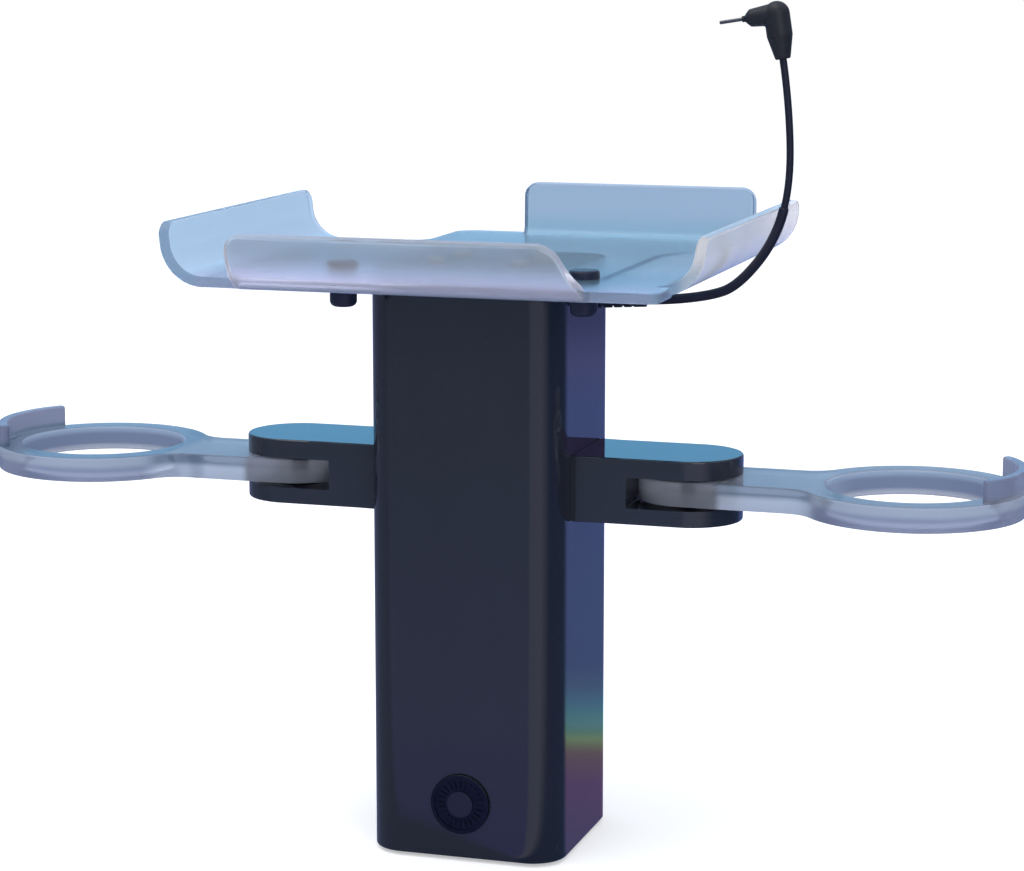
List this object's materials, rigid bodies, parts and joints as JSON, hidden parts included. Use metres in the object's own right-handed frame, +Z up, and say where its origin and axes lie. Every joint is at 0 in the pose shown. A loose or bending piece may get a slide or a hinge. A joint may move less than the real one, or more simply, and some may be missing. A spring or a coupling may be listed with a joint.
{
  "type": "headset display stand",
  "caption": "Display stand for a headset: glossy square column, translucent bent tray, swivelling clear ring arms for hand controllers and a stiff charging lead.",
  "frame": {"origin": "centre of the footprint, on the surface that the feet rest on", "axes": "+X to the right along the two arms, +Y to the rear, +Z up along the column"},
  "size_m": [0.431, 0.216, 0.3411],
  "materials": {
    "column_gloss": "near-black high gloss",
    "bracket_gloss": "near-black high gloss",
    "black_sheet": "black satin",
    "black_steel": "blackened steel",
    "screw_steel": "plain steel",
    "stop_dark": "black satin",
    "foot_rubber": "matt black",
    "ballast_iron": "cast, unpainted",
    "tray_acrylic": "translucent blue-grey, softly frosted",
    "arm_acrylic": "clear with a blue tint, polished",
    "medal_metal": "dark anodised",
    "washer_nylon": "black",
    "gland_plastic": "black",
    "lead_rubber": "black, slight sheen",
    "plug_rubber": "black moulded",
    "pin_steel": "dark nickel plated",
    "board_laminate": "green laminate",
    "spacer_brass": "plain"
  },
  "bodies": {
    "stand": {"column_tube": "column_gloss", "base_plate": "black_sheet", "base_screws": "black_steel", "rubber_feet": "foot_rubber", "ballast_block": "ballast_iron", "ballast_screws": "black_steel", "top_plate": "black_sheet", "top_screws": "black_steel", "tray": "tray_acrylic", "tray_screws": "screw_steel", "stop_screws": "stop_dark", "stop_nuts": "stop_dark", "medallion": "medal_metal", "bracket_left": "bracket_gloss", "bracket_screws_left": "screw_steel", "pivot_pin_left": "screw_steel", "lower_washer_left": "washer_nylon", "upper_washer_left": "washer_nylon", "bracket_right": "bracket_gloss", "bracket_screws_right": "screw_steel", "pivot_pin_right": "screw_steel", "lower_washer_right": "washer_nylon", "upper_washer_right": "washer_nylon", "cable_gland": "gland_plastic", "gland_nut": "gland_plastic", "strain_relief": "lead_rubber", "lead": "lead_rubber", "lead_sleeve": "lead_rubber", "plug_body": "plug_rubber", "plug_collar": "plug_rubber", "plug_pin": "pin_steel", "power_board": "board_laminate", "board_spacers": "spacer_brass", "board_screws": "screw_steel", "inlet_socket": "gland_plastic", "inlet_nut": "screw_steel"},
    "left_arm": {"arm_left": "arm_acrylic"},
    "right_arm": {"arm_right": "arm_acrylic"}
  },
  "joints": [
    {"name": "left_arm_swivel", "type": "hinge", "parent": "stand", "child": "left_arm", "pos_m": [-0.083, 0, 0.1508], "axis": [0, 0, 1], "range_deg": [-90, 90]},
    {"name": "right_arm_swivel", "type": "hinge", "parent": "stand", "child": "right_arm", "pos_m": [0.083, 0, 0.1508], "axis": [0, 0, 1], "range_deg": [-90, 90]}
  ]
}
